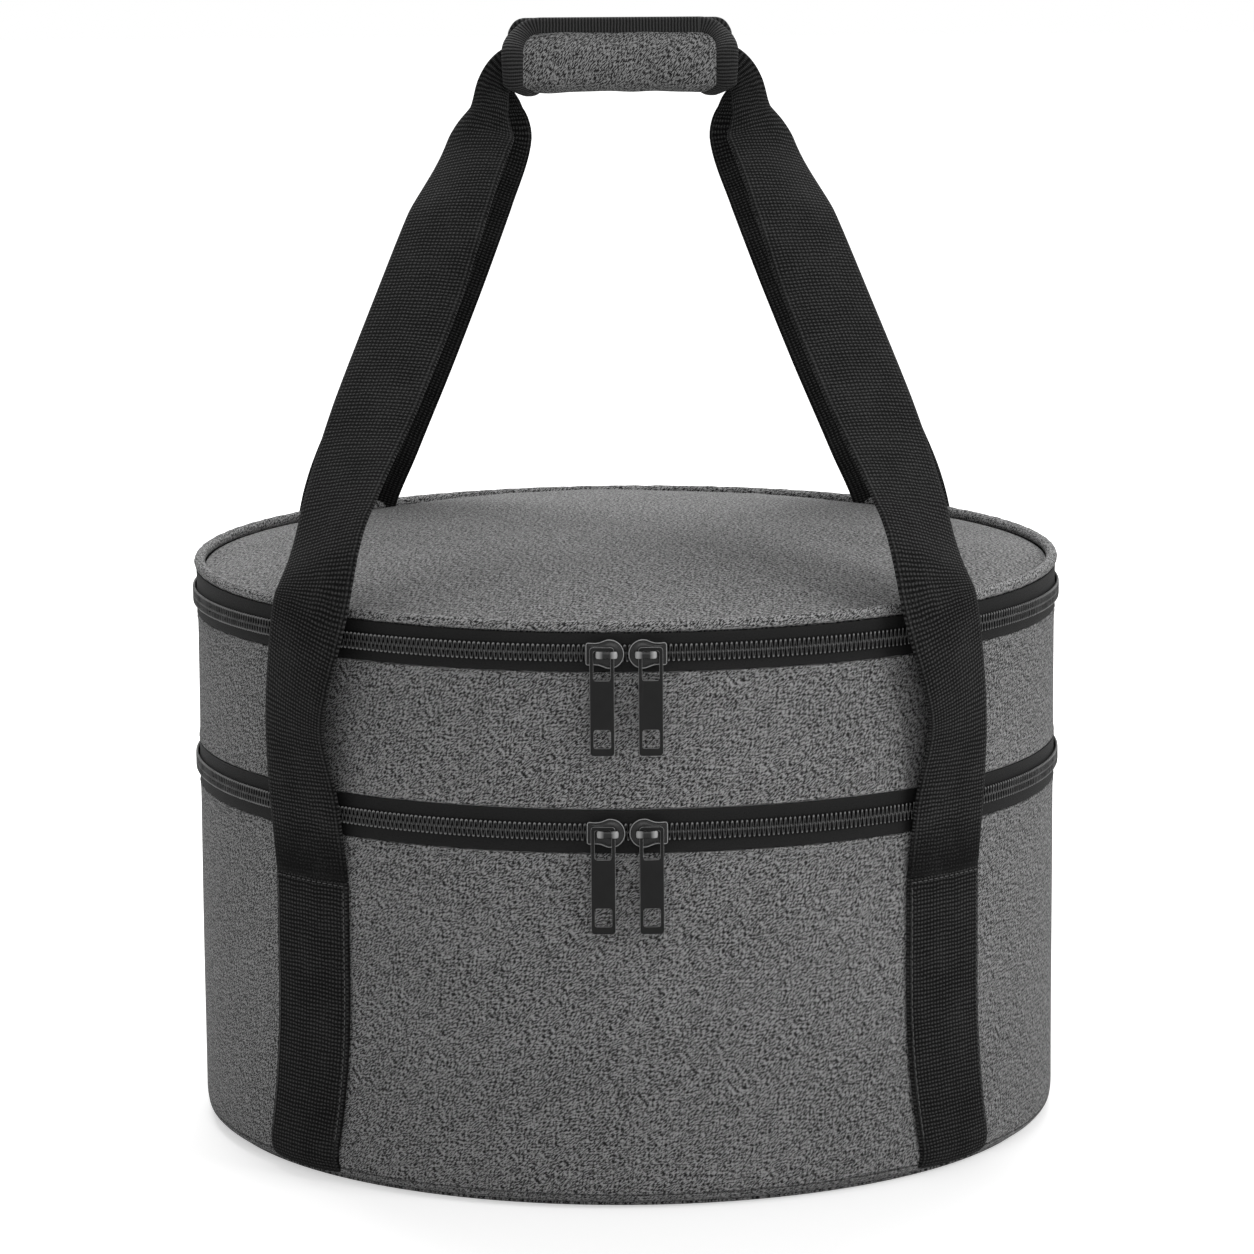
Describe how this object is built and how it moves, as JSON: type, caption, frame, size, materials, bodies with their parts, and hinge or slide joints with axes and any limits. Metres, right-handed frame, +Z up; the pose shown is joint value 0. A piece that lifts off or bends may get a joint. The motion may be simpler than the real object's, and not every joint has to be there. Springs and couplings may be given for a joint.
{
  "type": "round insulated cooler bag",
  "caption": "Round soft-sided insulated carrier with a shallow upper deck, a domed lid, two-way coil zips and webbing handles gathered in a padded grip wrap.",
  "frame": {"origin": "middle of the bottom panel's underside, on the floor", "axes": "+Z up, -Y towards the front, where the zip sliders meet, +X to the right seen from the front"},
  "size_m": [0.3846, 0.3896, 0.49],
  "materials": {
    "heather_fabric": "matte",
    "webbing": "matte",
    "zip_tape": "matte",
    "zip_coil": "satin",
    "zip_metal": "satin",
    "foam": "matte",
    "lining": "satin",
    "board": "matte",
    "binding": "matte",
    "hook_and_loop": "matte"
  },
  "bodies": {
    "base": {"bottom_panel": "heather_fabric", "bottom_stiffener": "board", "base_floor_foam": "foam", "base_wall_fabric": "heather_fabric", "base_wall_foam": "foam", "base_lining": "lining", "mid_zip_tape_lower": "zip_tape", "mid_zip_coil_lower": "zip_coil", "mid_hinge_strip": "heather_fabric", "front_right_sewn_strap": "webbing", "front_left_sewn_strap": "webbing", "rear_right_sewn_strap": "webbing", "rear_left_sewn_strap": "webbing"},
    "deck": {"deck_underside_lining": "lining", "deck_floor_foam": "foam", "deck_wall_fabric": "heather_fabric", "deck_wall_foam": "foam", "deck_lining": "lining", "mid_zip_tape_upper": "zip_tape", "mid_zip_coil_upper": "zip_coil", "top_zip_tape_lower": "zip_tape", "top_zip_coil_lower": "zip_coil", "top_hinge_strip": "heather_fabric"},
    "lid": {"lid_panel": "heather_fabric", "lid_foam": "foam", "lid_lining": "lining", "lid_piping": "heather_fabric", "top_zip_tape_upper": "zip_tape", "top_zip_coil_upper": "zip_coil"},
    "handle_front": {"front_handle_webbing": "webbing"},
    "handle_rear": {"rear_handle_webbing": "webbing", "wrap_rear_panel": "heather_fabric", "wrap_rear_padding": "foam", "wrap_rear_binding": "binding", "wrap_hook_tape": "hook_and_loop"},
    "wrap_flap": {"wrap_front_panel": "heather_fabric", "wrap_front_padding": "foam", "wrap_front_binding": "binding", "wrap_loop_tape": "hook_and_loop"},
    "mid_slider_left": {"mid_slider_left": "zip_metal"},
    "mid_pull_left": {"mid_pull_left": "zip_metal"},
    "mid_slider_right": {"mid_slider_right": "zip_metal"},
    "mid_pull_right": {"mid_pull_right": "zip_metal"},
    "top_slider_left": {"top_slider_left": "zip_metal"},
    "top_pull_left": {"top_pull_left": "zip_metal"},
    "top_slider_right": {"top_slider_right": "zip_metal"},
    "top_pull_right": {"top_pull_right": "zip_metal"}
  },
  "joints": [
    {"name": "deck_open", "type": "hinge", "parent": "base", "child": "deck", "pos_m": [0, 0.191, 0.16], "axis": [-1, 0, 0], "range_deg": [0, 95], "deforming": ["mid_hinge_strip"]},
    {"name": "lid_open", "type": "hinge", "parent": "deck", "child": "lid", "pos_m": [0, 0.191, 0.2344], "axis": [-1, 0, 0], "range_deg": [0, 95], "deforming": ["top_hinge_strip"]},
    {"name": "front_handle_swing", "type": "hinge", "parent": "base", "child": "handle_front", "pos_m": [0, -0.1405, 0.131], "axis": [1, 0, 0], "range_deg": [0, 125], "deforming": ["front_handle_webbing"]},
    {"name": "rear_handle_swing", "type": "hinge", "parent": "base", "child": "handle_rear", "pos_m": [0, 0.1405, 0.131], "axis": [-1, 0, 0], "range_deg": [0, 125], "deforming": ["rear_handle_webbing", "wrap_rear_panel", "wrap_rear_padding", "wrap_rear_binding", "wrap_hook_tape"]},
    {"name": "wrap_open", "type": "hinge", "parent": "handle_rear", "child": "wrap_flap", "pos_m": [0, 0, 0.4544], "axis": [1, 0, 0], "range_deg": [0, 160], "deforming": ["wrap_front_panel", "wrap_front_padding", "wrap_front_binding", "wrap_loop_tape"]},
    {"name": "mid_slider_left_run", "type": "hinge", "parent": "base", "child": "mid_slider_left", "pos_m": [0, 0, 0.16], "axis": [0, 0, -1], "range_deg": [0, 144]},
    {"name": "mid_pull_left_swing", "type": "hinge", "parent": "mid_slider_left", "child": "mid_pull_left", "pos_m": [-0.0057, -0.19559, 0.16], "axis": [0, 0, 1], "range_deg": [0, 150]},
    {"name": "mid_slider_right_run", "type": "hinge", "parent": "base", "child": "mid_slider_right", "pos_m": [0, 0, 0.16], "axis": [0, 0, 1], "range_deg": [0, 144]},
    {"name": "mid_pull_right_swing", "type": "hinge", "parent": "mid_slider_right", "child": "mid_pull_right", "pos_m": [0.0057, -0.19559, 0.16], "axis": [0, 0, -1], "range_deg": [0, 150]},
    {"name": "top_slider_left_run", "type": "hinge", "parent": "deck", "child": "top_slider_left", "pos_m": [0, 0, 0.2344], "axis": [0, 0, -1], "range_deg": [0, 144]},
    {"name": "top_pull_left_swing", "type": "hinge", "parent": "top_slider_left", "child": "top_pull_left", "pos_m": [-0.0057, -0.19559, 0.2344], "axis": [0, 0, 1], "range_deg": [0, 150]},
    {"name": "top_slider_right_run", "type": "hinge", "parent": "deck", "child": "top_slider_right", "pos_m": [0, 0, 0.2344], "axis": [0, 0, 1], "range_deg": [0, 144]},
    {"name": "top_pull_right_swing", "type": "hinge", "parent": "top_slider_right", "child": "top_pull_right", "pos_m": [0.0057, -0.19559, 0.2344], "axis": [0, 0, -1], "range_deg": [0, 150]}
  ]
}
